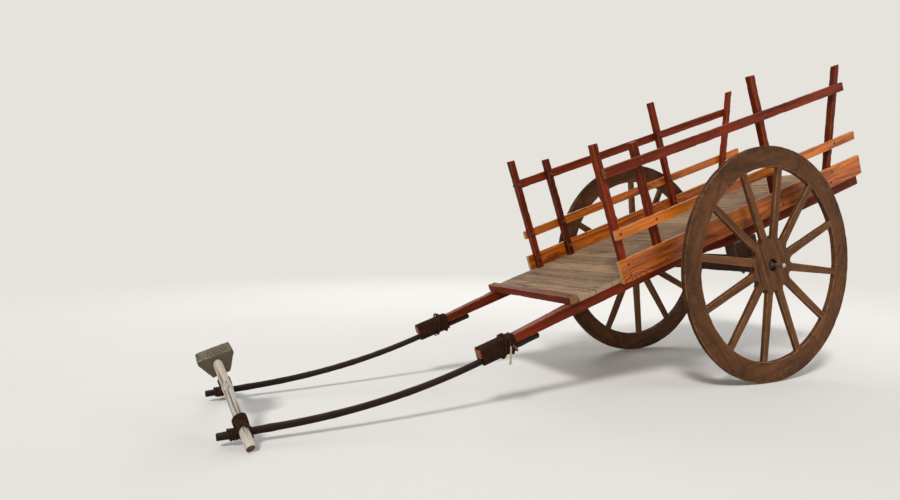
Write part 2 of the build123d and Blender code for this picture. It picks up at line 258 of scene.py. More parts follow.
def grained_wood(
    name, pale, dark, rubbed, soil, ends, ring, rings, streaks, fibres, spread,
    knots, checks, dirt, dust, rough, shine, bump, coat=0.0
):
    """Wood cut from a tree: yearly rings round its heart, streaks and fibres along it, knots, drying
    cracks, dirt and rubbed corners. Colours go from 0 to 255 and the ring's width is in metres. The other
    figures are strengths from 0 to 1."""
    material, nodes, shader, coords = new_material(name)
    pale, dark, rubbed, soil, ends = (srgb(*colour) for colour in (pale, dark, rubbed, soil, ends))
    tone, arris, butt, mud, grease_and_shade = (nodes.mark(key) for key in ("tone", "arris", "butt", "mud", "grease_and_shade"))
    grain = nodes.add("Attribute", attribute_name="grain").outputs["Vector"]
    reach = nodes.length(nodes.scaled(grain, (0, 1, 1)))
    reach = nodes.plus(reach, nodes.times(nodes.clouds(grain, 0.9, 4, 2.0), 0.07))
    reach = nodes.plus(reach, nodes.times(nodes.clouds(grain, 5, 40), ring * 0.9))
    if knots:
        # a knot is a branch that goes through the timber, so its depth doesn't count
        flat = nodes.scaled(grain, (1, 1, 0))
        cells = (1.2, 6.5, 1.0)
        stretched = nodes.scaled(flat, cells)
        branches = nodes.add("TexVoronoi", {"Vector": stretched, "Scale": 1.0}, voronoi_dimensions="2D")
        grown = nodes.calc("GREATER_THAN", branches.outputs["Color"], 0.5)
        heart = nodes.scaled(branches.outputs["Position"], [1 / c for c in cells])
        away = nodes.add("VectorMath", {0: flat, 1: heart}, operation="SUBTRACT").outputs[0]
        gap = nodes.times_plus(nodes.clouds(grain, 70, 70, 2.0), 0.006, nodes.length(away))
        swirl = nodes.times(nodes.length(nodes.scaled(away, (0.38, 1, 1))), 10.0)
        swirl = nodes.times(nodes.ramp(swirl, (0.0, 1.0), (0.2, 0.5), (0.5, 0.0)), grown)
        reach = nodes.times_plus(swirl, ring * 2.6, reach)
        core = nodes.ramp(nodes.times(gap, 40.0), (0.0, 0.8), (0.34, 1.0), (0.4, 0.75), (0.52, 0.0))
        core = nodes.times(core, grown)
    year = nodes.calc("FRACT", nodes.calc("DIVIDE", reach, ring))
    late = nodes.ramp(year, (0.0, 0.1), (0.45, 0.15), (0.84, 1.0), (1.0, 0.1))
    streak = nodes.clouds(grain, 1.6, 34, 4.0, 0.6)
    fibre = nodes.clouds(grain, 9, 240, 4.0, 0.65)
    pores = nodes.ramp(nodes.clouds(grain, 20, 620, 2.0), (0.58, 0.0), (0.68, 1.0))
    shade = nodes.times(late, rings)
    for part, strength in ((streak, streaks * 3), (fibre, fibres * 3), (tone, spread)):
        shade = nodes.times_plus(nodes.calc("SUBTRACT", part, 0.5), strength, shade)
    shade = nodes.times_plus(pores, fibres * 0.5, shade)
    if knots:
        shade = nodes.times_plus(core, knots, shade)
    colour = nodes.mix(nodes.plus(shade, 0.3, clamp=True), pale, dark)
    end_rings = (*(0.35 * c for c in ends[:3]), 1.0)
    sawn = nodes.times_plus(late, 0.6, nodes.times(fibre, 0.4))
    colour = nodes.mix(butt, colour, nodes.mix(sawn, ends, end_rings))
    smears = nodes.ramp(nodes.clouds(coords, 3.1, 3.1, 5.0, 0.6), (0.42, 0.0), (0.68, 1.0))
    smears = nodes.times(nodes.times(smears, dirt), nodes.times_plus(butt, -0.6, 1.0))
    caked = nodes.ramp(nodes.clouds(coords, 19, 19, 5.0, 0.65), (0.3, 0.0), (0.6, 1.0))
    soiled = nodes.times_plus(mud, caked, smears, clamp=True)
    colour = nodes.mix(soiled, colour, soil)
    rub = nodes.ramp(nodes.clouds(coords, 26, 26, 4.0), (0.36, 0.0), (0.56, 1.0))
    colour = nodes.mix(nodes.times(nodes.times(rub, arris), 0.6), colour, rubbed)
    if dust:
        normal = nodes.add("NewGeometry").outputs["Normal"]
        facing_up = nodes.add("SeparateXYZ", {0: normal}).outputs[2]
        lying = nodes.times(nodes.ramp(facing_up, (0.4, 0.0), (0.95, 1.0)), dust)
        drifts = nodes.ramp(nodes.clouds(coords, 6, 6, 5.0, 0.7), (0.3, 0.25), (0.65, 1.0))
        colour = nodes.mix(nodes.times(lying, drifts), colour, srgb(176, 156, 128))
    wander = nodes.calc("SUBTRACT", nodes.clouds(grain, 1.0, 40, 3.0, 0.5), 0.5)
    crack = nodes.ramp(nodes.calc("ABSOLUTE", wander), (0.0, 1.0), (0.014, 0.9), (0.030, 0.0))
    dry = nodes.ramp(nodes.clouds(grain, 1.7, 9, 2.0), (0.5, 0.0), (0.62, 1.0))
    crack = nodes.times(nodes.times(crack, dry), checks)
    crack = nodes.times(crack, nodes.times_plus(butt, -0.8, 1.0))
    colour = nodes.mix(crack, colour, srgb(26, 18, 14))
    # grease, and painted shade in the hub's sunk axle hole
    colour = nodes.mix(grease_and_shade, colour, srgb(30, 22, 18))
    gloss = nodes.times_plus(streak, 0.3, rough - 0.15)
    gloss = nodes.times_plus(soiled, 0.25, gloss, clamp=True)
    relief = nodes.times(fibre, 0.9)
    for part, height in ((late, 0.25), (pores, -0.35), (streak, 0.8), (crack, -1.5)):
        relief = nodes.times_plus(part, height, relief)
    raised = nodes.bump(relief, bump, 0.0016)
    sockets = {"Base Color": colour, "Roughness": gloss, "Specular IOR Level": shine, "Normal": raised}
    nodes.wire(shader, sockets)
    if coat:
        nodes.wire(shader, {"Coat Weight": coat, "Coat Roughness": 0.2})
    return material


def islands(bm):
    """The separate timbers of a mesh, each as a list of its vertices, in a fixed order."""
    for vert in bm.verts:
        vert.tag = False
    for start in bm.verts:
        if start.tag:
            continue
        start.tag = True
        group = [start]
        for vert in group:
            for edge in vert.link_edges:
                other = edge.other_vert(vert)
                if not other.tag:
                    other.tag = True
                    group.append(other)
        yield group


def round_arrises(bm, radius, segments=2, sharp=30, worn=1.0, only=None):
    """Takes the sharpness off corners, and marks the rounded strips, where wear shows first."""
    arris = bm.faces.layers.float.get("arris") or bm.faces.layers.float.new("arris")
    corners = [e for e in bm.edges if e.is_manifold and e.calc_face_angle() > math.radians(sharp)]
    corners = [e for e in corners if only is None or only(e)]
    shape = {"offset": radius, "offset_type": "OFFSET", "segments": segments, "profile": 0.5}
    shape.update(affect="EDGES", clamp_overlap=True, material=-1)
    for face in bmesh.ops.bevel(bm, geom=corners, **shape)["faces"]:
        face[arris] = worn


def wood_marks(bm):
    """Makes room for what wood carries: its grain and tone on vertices, its butt ends on faces."""
    if "arris" not in bm.faces.layers.float:
        bm.faces.layers.float.new("arris")
    corners = bm.verts.layers
    return corners.float_vector.new("grain"), corners.float.new("tone"), bm.faces.layers.float.new("butt")


def lay_grain(bm, along, face, luck):
    """Gives every timber its own grain: places along, across and through it from the tree's heart."""
    grain, tone, butt = wood_marks(bm)
    for group in islands(bm):
        centre = sum((v.co for v in group), Vector()) / len(group)
        run = along(centre).normalized()
        through = face(centre).normalized()
        across = through.cross(run)
        width = max((v.co - centre).dot(across) for v in group)
        thick = max((v.co - centre).dot(through) for v in group)
        start = luck.uniform(0, 60)
        aside = luck.uniform(-1, 1) * width
        heart = Vector((start, aside, thick + luck.uniform(0.8, 2.5) * width))
        shade = luck.random()
        faces = set()
        for vert in group:
            spot = vert.co - centre
            vert[grain] = heart + Vector((spot.dot(run), spot.dot(across), spot.dot(through)))
            vert[tone] = shade
            faces.update(vert.link_faces)
        for patch in faces:
            patch[butt] = 1.0 if abs(patch.normal.dot(run)) > 0.8 else 0.0


def hew(bm, depth, rate):
    """Leaves faces and edges a little out of true, as a saw and an adze do."""
    for vert in bm.verts:
        vert.co += noise.noise_vector(vert.co * rate) * depth


def wear(bm, depth, rate=11.0, points=1.0):
    """Knocks rounded edges back, deep in some places and hardly at all in others, and the points most."""
    arris = bm.faces.layers.float["arris"]
    bm.normal_update()
    for vert in bm.verts:
        if any(face[arris] for face in vert.link_faces):
            bite = noise.noise(vert.co * rate) + 0.7 * noise.noise(vert.co * rate * 3.3)
            bite += min(abs(c) for c in vert.normal) * points
            vert.co -= vert.normal * depth * max(0.0, bite - 0.05)


def mirror(bm):
    """Makes a left piece into a right one."""
    bmesh.ops.scale(bm, verts=bm.verts, vec=(1, -1, 1))
    bmesh.ops.reverse_faces(bm, faces=bm.faces)


def fit_piece(name, bm, material, *nodes, body="cart"):
    """Sets a finished mesh where the parked cart has it, and ties it to the body that it moves with."""
    bmesh.ops.transform(bm, matrix=parked, verts=bm.verts)
    mesh = bpy.data.meshes.new(name)
    bm.to_mesh(mesh)
    bm.free()
    mesh.shade_smooth()
    mesh.materials.append(material)
    made = add_object(name, mesh)
    made.modifiers.new("flat_faces", "WEIGHTED_NORMAL").weight = 90
    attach(made, body)
    if nodes:
        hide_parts(*nodes)


def fit_wheel_piece(side, name, bm, node):
    """Turns a piece of the left wheel to its spoke angle, mirrors it for the right wheel, and fits it."""
    turn = Matrix.Rotation(math.radians(spoke_turn[side]), 3, "Y")
    bmesh.ops.rotate(bm, verts=bm.verts, matrix=turn)
    if side == "right":
        mirror(bm)
    body = side + "_wheel"
    fit_piece(f"{side}_{name}", bm, wheel_wood, f"{body}_{node}", body=body)


def runs_round(edge):
    """True for an edge of a felloe that follows the rim, and not for one at its end."""
    middle = (edge.verts[0].co + edge.verts[1].co) / 2
    way = Vector((middle.z, 0, -middle.x)).normalized()
    return abs((edge.verts[1].co - edge.verts[0].co).normalized().dot(way)) > 0.9


wheel_wood = grained_wood(
    "wheel_wood",
    pale=(116, 73, 39), dark=(60, 33, 16), rubbed=(148, 112, 78), soil=(64, 41, 25), ends=(96, 64, 40),
    ring=0.011, rings=0.28, streaks=0.55, fibres=0.5, spread=0.4, knots=0.0, checks=0.7,
    dirt=0.5, dust=0.0, rough=0.66, shine=0.16, bump=0.6,
)
for side in spoke_turn:
    ring = bmesh.new()
    for i in range(felloe_count):
        end = bmesh.ops.create_grid(ring, x_segments=1, y_segments=1, size=0.5)["verts"]
        bmesh.ops.rotate(ring, verts=end, matrix=Matrix.Rotation(math.pi / 2, 3, "Y"))
        bmesh.ops.scale(ring, verts=end, vec=(1, rim_high.y - rim_low.y, felloe_depth))
        middle = Vector((0, (rim_high.y + rim_low.y) / 2, wheel_r - felloe_depth / 2))
        bmesh.ops.translate(ring, verts=end, vec=middle)
        span = 360 / felloe_count
        start = math.radians(first_butt + span * i + butt_gap)
        bmesh.ops.rotate(ring, verts=end, matrix=Matrix.Rotation(start, 3, "Y"))
        edges = list(dict.fromkeys(e for v in end for e in v.link_edges))
        faces = list(dict.fromkeys(f for v in end for f in v.link_faces))
        sweep = math.radians(span - butt_gap * 2)
        around = {"cent": (0, 0, 0), "axis": (0, 1, 0), "angle": -sweep, "steps": felloe_cuts}
        bmesh.ops.spin(ring, geom=end + edges + faces, **around)
    bmesh.ops.recalc_face_normals(ring, faces=ring.faces)
    round_arrises(ring, felloe_arris, 3, 50, only=runs_round)
    round_arrises(ring, 0.0009, 1, 50, worn=0.0)
    luck = random.Random("felloes " + side)
    lay_grain(ring, lambda c: Vector((c.z, 0, -c.x)), lambda c: sideways, luck)
    mud = ring.verts.layers.float.new("mud")
    for vert in ring.verts:
        from_rim = wheel_r - math.hypot(vert.co.x, vert.co.z)
        vert[mud] = min(1.0, max(0.0, 1 - from_rim / splash_depth)) ** 2
    hew(ring, 0.0007, 9)
    wear(ring, 0.0028, points=0.0)
    fit_wheel_piece(side, "felloe_boards", ring, "felloes")

# Spokes. Twelve to a wheel, sawn from board, a little narrower at the rim, with planed-off corners. Each
# is tenoned into the hub disc and into a felloe.
spoke_low, spoke_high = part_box("left_wheel_spokes")
spoke_count = 12
spoke_root_r = 0.160
spoke_tip_r = wheel_r - felloe_depth + 0.008
spoke_root_w = 0.054
spoke_tip_w = 0.043
spoke_arris = 0.0045
spoke_cuts = 28

for side in spoke_turn:
    luck = random.Random("spokes " + side)
    spokes = bmesh.new()
    for i in range(spoke_count):
        bar = bmesh.ops.create_cube(spokes, size=1.0)["verts"]
        length = spoke_tip_r - spoke_root_r
        bmesh.ops.scale(spokes, verts=bar, vec=(1, spoke_high.y - spoke_low.y, length))
        for vert in bar:
            vert.co.x *= spoke_tip_w if vert.co.z > 0 else spoke_root_w
        middle = Vector((0, (spoke_high.y + spoke_low.y) / 2, spoke_root_r + length / 2))
        bmesh.ops.translate(spokes, verts=bar, vec=middle)
    round_arrises(spokes, spoke_arris, 2)
    for k in range(1, spoke_cuts):
        place = (0, 0, spoke_root_r + (spoke_tip_r - spoke_root_r) * k / spoke_cuts)
        everything = spokes.verts[:] + spokes.edges[:] + spokes.faces[:]
        bmesh.ops.bisect_plane(spokes, geom=everything, dist=1e-6, plane_co=place, plane_no=(0, 0, 1))
    for i, bar in enumerate(list(islands(spokes))):
        bend = luck.uniform(-0.0012, 0.0012)
        for vert in bar:
            vert.co.x += bend * math.sin((vert.co.z - spoke_root_r) * 7)
        turn = math.radians(360 / spoke_count * i + luck.uniform(-0.25, 0.25))
        bmesh.ops.rotate(spokes, verts=bar, matrix=Matrix.Rotation(turn, 3, "Y"))
    lay_grain(spokes, lambda c: Vector((c.x, 0, c.z)), lambda c: sideways, luck)
    hew(spokes, 0.0006, 12)
    wear(spokes, 0.002, points=0.0)
    fit_wheel_piece(side, "spoke_bars", spokes, "spokes")

# Hub. A thick disc, all but flush with the spokes on the outside and cut between them in rounded
# scallops, with a turned nave behind it. The hole for the axle is sunk in the face. The face darkens
# towards it with grease, and the hole's walls and bore are painted dark as shade.
hub_low, hub_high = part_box("left_wheel_hub")
disc_back = hub_high.y - 0.040
disc_face = hub_high.y
disc_corners = 360
scallop_r = 0.022
scallop_floor_r = 0.165
scallop_middle_r = scallop_floor_r + scallop_r
tooth_r = 0.186
edge = 0.003
half_edge = 0.0009
recess_r = 0.034
recess_floor = hub_high.y - 0.024
bush_r = 0.0211
# the hub's face darkens inside this radius: grease near the hole, and painted shade within it
grease_and_shade_r = 0.048
nave_back = hub_low.y

# radius and y of each ring of corners: the face, its sunk hole, the bore, the nave and the disc's back
hub_rings = (
    (0.120, disc_face + 0.0003), (0.080, disc_face), (0.048, disc_face),
    (recess_r + edge, disc_face), (recess_r + half_edge, disc_face - half_edge),
    (recess_r, disc_face - edge), (recess_r, recess_floor), (bush_r, recess_floor), (bush_r, nave_back),
    (0.066, nave_back), (0.069, nave_back + 0.003), (0.070, nave_back + 0.016),
    (0.074, nave_back + 0.020), (0.074, nave_back + 0.028), (0.071, nave_back + 0.032),
    (0.074, nave_back + 0.049), (0.078, disc_back), (0.120, disc_back - 0.0003),
)
# trim and y of each ring of corners round the scalloped edge, from back to front
disc_rings = ((0.0, disc_back + edge), (0.0, disc_face - edge), (half_edge, disc_face - half_edge))
disc_rings += ((edge, disc_face),)


def hub_reach(angle, trim):
    """How far the disc goes at this angle from a spoke, less a trim."""
    half_gap = math.pi / spoke_count
    off = half_gap - abs((angle + half_gap) % (half_gap * 2) - half_gap)
    inside = (scallop_r + trim) ** 2 - (scallop_middle_r * math.sin(off)) ** 2
    if inside < 0:
        return tooth_r - trim
    return min(tooth_r - trim, scallop_middle_r * math.cos(off) - math.sqrt(inside))


def set_ring(verts, reach, y):
    """Puts each vertex out at the radius that reach(angle) gives, and all of them at y."""
    for vert in verts:
        angle = math.atan2(vert.co.x, vert.co.z)
        vert.co = (reach(angle) * math.sin(angle), y, reach(angle) * math.cos(angle))


def next_ring(bm, loop, reach, y):
    """Pulls a new ring of vertices out of the last one."""
    made = bmesh.ops.extrude_edge_only(bm, edges=loop)["geom"]
    set_ring([v for v in made if isinstance(v, bmesh.types.BMVert)], reach, y)
    return [e for e in made if isinstance(e, bmesh.types.BMEdge)]


for side in spoke_turn:
    hub = bmesh.new()
    first = bmesh.ops.create_circle(hub, cap_ends=False, segments=disc_corners, radius=1.0)["verts"]
    bmesh.ops.rotate(hub, verts=first, matrix=Matrix.Rotation(math.pi / 2, 3, "X"))
    set_ring(first, lambda a: hub_reach(a, edge), disc_back)
    loop = hub.edges[:]
    for trim, y in disc_rings:
        loop = next_ring(hub, loop, lambda a: hub_reach(a, trim), y)
    for radius, y in hub_rings:
        loop = next_ring(hub, loop, lambda a: radius, y)
    next_ring(hub, loop, lambda a: hub_reach(a, edge), disc_back)
    bmesh.ops.remove_doubles(hub, verts=hub.verts, dist=0.00005)
    bmesh.ops.recalc_face_normals(hub, faces=hub.faces)
    lay_grain(hub, lambda c: upward, lambda c: sideways, random.Random("hub " + side))
    # dark towards the axle hole: grease on the face, and painted shade on the sunk hole's walls and the
    # bore
    grease_and_shade = hub.verts.layers.float.new("grease_and_shade")
    for vert in hub.verts:
        out = math.hypot(vert.co.x, vert.co.z)
        vert[grease_and_shade] = min(0.94, max(0.0, (grease_and_shade_r - out) / (grease_and_shade_r - recess_r)))
    fit_wheel_piece(side, "hub_disc", hub, "hub")

# Axle. A round iron bar worn bright where it stands out of the hubs, bushed in the wheels and held by
# washers, collars and linchpins, all dull with rust.
bar_end_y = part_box("axle_bar")[1].y
bar_r = 0.015
bar_end_r = 0.014
shoulder_y = rim_high.y + 0.002
washer_r = 0.042
washer_t = 0.005
collar_r = 0.026
collar_t = 0.009
pin_r = 0.0035
pin_length = 0.050
turning_steps = 48


def iron(name, bare, rust, amount, rough):
    """Plain iron with rust in patches and a fine pitted face."""
    material, nodes, shader, coords = new_material(name)
    fine = nodes.clouds(coords, 420, 420)
    mask = nodes.times_plus(fine, 0.18, amount * 0.34 - 0.7)
    mask = nodes.plus(nodes.clouds(coords, 38, 38, 6.0, 0.65), mask)
    mask = nodes.ramp(mask, (0.0, 0.0), (0.16, 1.0))
    tint = nodes.mix(nodes.clouds(coords, 130, 130, 4.0), rust, srgb(58, 36, 26))
    relief = nodes.plus(nodes.times(mask, 0.6), nodes.times(fine, 0.5))
    sockets = {"Base Color": nodes.mix(mask, bare, tint), "Normal": nodes.bump(relief, 0.5, 0.0006)}
    sockets["Metallic"] = nodes.calc("SUBTRACT", 1.0, mask, clamp=True)
    sockets["Roughness"] = nodes.times_plus(mask, 0.4, rough)
    nodes.wire(shader, sockets)
    return material


def turned(bm, outline):
    """A round piece about the axle line, from its outline given as (radius, y) corners."""
    lathe(bm, [(0, y, radius) for radius, y in outline], (0, 1, 0), turning_steps, 0.00002)


def ring_outline(inner, outer, y0, y1, soft):
    """Outline of a flat ring with softened outer corners, closed on itself."""
    near = ((outer - soft, y0), (outer - soft * 0.3, y0 + soft * 0.3), (outer, y0 + soft))
    far = ((outer, y1 - soft), (outer - soft * 0.3, y1 - soft * 0.3), (outer - soft, y1))
    return ((inner, y0), *near, *far, (inner, y1), (inner, y0))


worn_iron = iron("worn_iron", srgb(196, 192, 186), srgb(128, 92, 66), 0.2, 0.3)
rusty_iron = iron("rusty_iron", srgb(104, 98, 92), srgb(104, 62, 40), 0.95, 0.45)

bar = bmesh.new()
half_bar = (
    (0.0, bar_end_y),
    (bar_end_r - 0.002, bar_end_y),
    (bar_end_r - 0.0006, bar_end_y - 0.0006),
    (bar_end_r, bar_end_y - 0.002),
    (bar_end_r, shoulder_y + 0.001),
    (bar_r, shoulder_y),
)
turned(bar, [(radius, -y) for radius, y in half_bar] + list(reversed(half_bar)))
fit_piece("axle_rod", bar, worn_iron, "axle_bar")

washer_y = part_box("axle_washers")[1].y
collar_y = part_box("axle_collars")[1].y
bush_low, bush_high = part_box("left_wheel_bush")
loose_r = bar_r + 0.0004
bored_r = bar_r + 0.0002
# body, node, inner and outer radius, nearest and farthest y, and softening of each set of rings
rings = {
    "washer_rings": ("cart", "axle_washers", loose_r, washer_r, washer_y - washer_t, washer_y, 0.0012),
    "collar_rings": ("cart", "axle_collars", loose_r, collar_r, collar_y - collar_t, collar_y, 0.002),
}
for side in spoke_turn:
    body = side + "_wheel"
    row = (body, body + "_bush", bored_r, bush_r, bush_low.y, bush_high.y, 0.0008)
    rings[side + "_bush_ring"] = row
for name, (body, node, inner, outer, y0, y1, soft) in rings.items():
    ring = bmesh.new()
    if not name.startswith("right"):
        turned(ring, ring_outline(inner, outer, y0, y1, soft))
    if not name.startswith("left"):
        turned(ring, ring_outline(inner, outer, -y1, -y0, soft))
    fit_piece(name, ring, rusty_iron, node, body=body)

pins = bmesh.new()
pin_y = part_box("axle_linchpins")[1].y - pin_r
for flip in (1, -1):
    shape = {"segments": 16, "radius1": pin_r, "radius2": pin_r, "depth": pin_length}
    pin = bmesh.ops.create_cone(pins, cap_ends=True, **shape)["verts"]
    bmesh.ops.translate(pins, verts=pin, vec=(0, flip * pin_y, 0))
round_arrises(pins, 0.0008, 2)
fit_piece("linchpin_rods", pins, rusty_iron, "axle_linchpins")

# Axle beam and bolsters. A square timber housing the bar, with a block standing on it under each shaft.
# They are hewn, and painted almost black as shade for their place under the cart.


def level_box(node):
    """Lowest and highest corner of a solid once the cart is drawn level."""
    spots = [level @ v.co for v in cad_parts[node].data.vertices]
    low = Vector((min(s[i] for s in spots) for i in range(3)))
    high = Vector((max(s[i] for s in spots) for i in range(3)))
    return low, high


def block(bm, node):
    """One square timber that fills a solid's box."""
    low, high = level_box(node)
    made = bmesh.ops.create_cube(bm, size=1.0)["verts"]
    bmesh.ops.scale(bm, verts=made, vec=high - low)
    bmesh.ops.translate(bm, verts=made, vec=(high + low) / 2)


def cut_across(bm, axis, step):
    """Divides timbers into short lengths along an axis, so that their faces can be hewn."""
    along = [v.co.dot(axis) for v in bm.verts]
    low, high = min(along), max(along)
    count = max(2, int((high - low) / step))
    for i in range(1, count):
        place = axis * (low + (high - low) * i / count)
        everything = bm.verts[:] + bm.edges[:] + bm.faces[:]
        bmesh.ops.bisect_plane(bm, geom=everything, dist=1e-6, plane_co=place, plane_no=axis)


def work_timber(bm, run, face, luck, arris, step, hewn, rate, worn, worn_rate=11.0, sharp=30, way=None):
    """Makes timbers of plain solids that lie along run: rounded, cut, grained, hewn and worn. Where their
    grain doesn't follow run, way(centre) says how it goes."""
    round_arrises(bm, arris, 2, sharp)
    cut_across(bm, run, step)
    lay_grain(bm, way or (lambda c: run), lambda c: face, luck)
    hew(bm, hewn, rate)
    wear(bm, worn, worn_rate)


# painted shade: a near-black wood for the timbers under the cart, where shade falls
dark_wood = grained_wood(
    "dark_wood",
    pale=(76, 46, 32), dark=(36, 21, 15), rubbed=(108, 76, 56), soil=(54, 41, 32), ends=(84, 58, 42),
    ring=0.010, rings=0.3, streaks=0.6, fibres=0.55, spread=0.3, knots=0.5, checks=0.9,
    dirt=0.6, dust=0.25, rough=0.7, shine=0.25, bump=0.8,
)

beam = bmesh.new()
block(beam, "axle_beam")
luck = random.Random("beam")
work_timber(beam, sideways, upward, luck, arris=0.007, step=0.018, hewn=0.0018, rate=7, worn=0.005)
fit_piece("axle_timber", beam, dark_wood, "axle_beam")

bolsters = bmesh.new()
for side in ("left", "right"):
    block(bolsters, side + "_bolster")
luck = random.Random("bolsters")
work_timber(bolsters, forward, upward, luck, arris=0.006, step=0.018, hewn=0.0014, rate=8, worn=0.006)
fit_piece("bolster_blocks", bolsters, dark_wood, "left_bolster", "right_bolster")

# Shafts. One long timber a side, sill of the bed behind and shaft in front, planed and stained a deep
# red brown. They taper ahead of the bed to take the lashings.
shaft_y = 0.430


def level_copy(node):
    """Copy of a solid with the cart drawn level, its facets joined into whole faces."""
    bm = bmesh.new()
    bm.from_mesh(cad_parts[node].data)
    bmesh.ops.remove_doubles(bm, verts=bm.verts, dist=0.00002)
    bmesh.ops.dissolve_limit(bm, angle_limit=math.radians(0.6), verts=bm.verts, edges=bm.edges)
    bmesh.ops.transform(bm, matrix=level, verts=bm.verts)
    return bm


red_wood = grained_wood(
    "red_wood",
    pale=(132, 44, 11), dark=(54, 16, 5), rubbed=(164, 92, 50), soil=(62, 30, 18), ends=(150, 108, 76),
    ring=0.010, rings=0.34, streaks=0.65, fibres=0.5, spread=0.45, knots=0.0, checks=0.6,
    dirt=0.35, dust=0.13, rough=0.48, shine=0.08, bump=0.45,
)
shaft_finish = {"arris": 0.004, "step": 0.016, "hewn": 0.0011, "rate": 6, "worn": 0.0035, "sharp": 20}
for side in ("left", "right"):
    shaft = level_copy(side + "_shaft")
    work_timber(shaft, forward, upward, random.Random("shaft " + side), **shaft_finish)
    fit_piece(side + "_shaft_timber", shaft, red_wood, side + "_shaft")

# Cross pieces. Three bearers are let in between the shafts, and the front beam lies on top of the shafts
# ahead of the boards, with its worn upper corners showing paler.
# the bearers under the bed take the same wood, painted dark as shade
bearers = level_copy("cross_bearers")
bearer_finish = {"arris": 0.004, "step": 0.02, "hewn": 0.0012, "rate": 7, "worn": 0.004, "sharp": 20}
work_timber(bearers, sideways, upward, random.Random("bearers"), **bearer_finish)
fit_piece("bearer_timbers", bearers, dark_wood, "cross_bearers")

front = bmesh.new()
block(front, "front_cross_beam")
luck = random.Random("front beam")
work_timber(front, sideways, upward, luck, arris=0.005, step=0.014, hewn=0.0012, rate=7, worn=0.004)
fit_piece("front_beam_timber", front, red_wood, "front_cross_beam")

# Bed. Twenty-one rough boards laid across the shafts and notched round the stakes, grey brown and dusty,
# with pale sawn ends. Two flat nails go through each board into each shaft.
nail_r = 0.0055
nail_flatness = 0.32
nail_aside = 0.030
board_wood = grained_wood(
    "board_wood",
    pale=(170, 132, 96), dark=(94, 64, 43), rubbed=(192, 166, 134), soil=(88, 67, 49), ends=(188, 156, 122),
    ring=0.013, rings=0.42, streaks=0.6, fibres=0.56, spread=0.8, knots=0.6, checks=0.9,
    dirt=0.65, dust=0.34, rough=0.76, shine=0.25, bump=0.75,
)
boards = level_copy("deck_boards")
luck = random.Random("boards")
board_finish = {"arris": 0.002, "step": 0.014, "hewn": 0.0010, "rate": 5, "worn": 0.003, "worn_rate": 14.0}
work_timber(boards, sideways, upward, luck, **board_finish)
board_places = []
for board in islands(boards):
    drop = luck.uniform(-0.0015, 0.0)
    tip = luck.uniform(-0.006, 0.006)
    middle = sum((v.co.x for v in board), 0.0) / len(board)
    board_places.append(middle)
    for vert in board:
        vert.co.z += drop + (vert.co.x - middle) * tip
fit_piece("bed_boards", boards, board_wood, "deck_boards")

deck_top = level_box("deck_boards")[1].z
nails = bmesh.new()
luck = random.Random("nails")
for board_x in board_places:
    for y in (-shaft_y, shaft_y):
        for aside in (-nail_aside, nail_aside):
            head = bmesh.ops.create_icosphere(nails, subdivisions=1, radius=nail_r)["verts"]
            bmesh.ops.scale(nails, verts=head, vec=(1, 1, nail_flatness))
            x = board_x + aside + luck.uniform(-0.008, 0.008)
            spot = (x, y + luck.uniform(-0.012, 0.012), deck_top - 0.0004)
            bmesh.ops.translate(nails, verts=head, vec=spot)
fit_piece("bed_nails", nails, rusty_iron)

# Stakes. Four square posts a side stand on the shafts through notches in the bed; the rear one leans
# back. They are planed red brown wood with paler, weathered tops.

# x at the bed, x at the top and height of the top of each stake on a side
stake_places = (
    (0.985, 0.985, 1.075),
    (0.703, 0.703, 1.010),
    (-0.382, -0.382, 1.166),
    (-0.905, -1.252, 1.052),
)


def stake_way(centre):
    """The way that the stake nearest to a place leans."""
    foot_x, top_x, top_z = min(stake_places, key=lambda s: abs((s[0] + s[1]) / 2 - centre.x))
    return Vector((top_x - foot_x, 0, top_z - deck_top))


stake_finish = {"arris": 0.003, "step": 0.015, "hewn": 0.0010, "rate": 7, "worn": 0.004, "sharp": 20}
for side in ("left", "right"):
    stakes = level_copy(side + "_stakes")
    luck = random.Random("stakes " + side)
    work_timber(stakes, upward, sideways, luck, way=stake_way, **stake_finish)
    fit_piece(side + "_stake_posts", stakes, red_wood, side + "_stakes")

# Side boards. A broad plank and a narrow rail of honey-coloured varnished softwood, strong in the grain,
# and a red brown top rail, all bolted through the stakes from outside.
varnished_wood = grained_wood(
    "varnished_wood",
    pale=(222, 120, 18), dark=(120, 48, 7), rubbed=(210, 148, 76), soil=(100, 54, 22), ends=(206, 166, 112),
    ring=0.014, rings=0.55, streaks=0.6, fibres=0.42, spread=0.35, knots=0.7, checks=0.35,
    dirt=0.32, dust=0.1, rough=0.4, shine=0.22, bump=0.35, coat=0.14,
)
side_boards = {"side_plank": varnished_wood, "narrow_rail": varnished_wood, "top_rail": red_wood}
rail_finish = {"arris": 0.0028, "step": 0.015, "hewn": 0.0009, "rate": 5, "worn": 0.0035}
for side in ("left", "right"):
    for name, wood in side_boards.items():
        rail = bmesh.new()
        block(rail, f"{side}_{name}")
        work_timber(rail, forward, sideways, random.Random(side + name), **rail_finish)
        fit_piece(f"{side}_{name}_board", rail, wood, f"{side}_{name}")

# heights of the rows of bolts, two in the plank and one in each rail
bolt_rows = (0.285, 0.352, 0.536, 0.896)
# a bolt has to be this far over the bed for its nut to clear the boards
nut_room = 0.03
bolt_head_r = 0.0095
bolt_head_flatness = 0.48
# radius, thickness, sides and taper of a washer, a nut and the end of a bolt, from the wood outwards
nut_discs = ((0.016, 0.0018, 20, 0.05), (0.0135, 0.0075, 4, 0.12), (0.005, 0.006, 12, 0.2))


def standing(place, axis):
    """The shift and turn that stand a piece on a place, facing along an axis."""
    return Matrix.Translation(place) @ axis.to_track_quat("Z", "X").to_matrix().to_4x4()


def bolt_head(bm, place, axis):
    """The domed head of a coach bolt, pulled down on the wood."""
    dome = bmesh.ops.create_uvsphere(bm, u_segments=18, v_segments=10, radius=bolt_head_r)["verts"]
    bmesh.ops.scale(bm, verts=dome, vec=(1, 1, bolt_head_flatness))
    bmesh.ops.transform(bm, verts=dome, matrix=standing(place, axis))


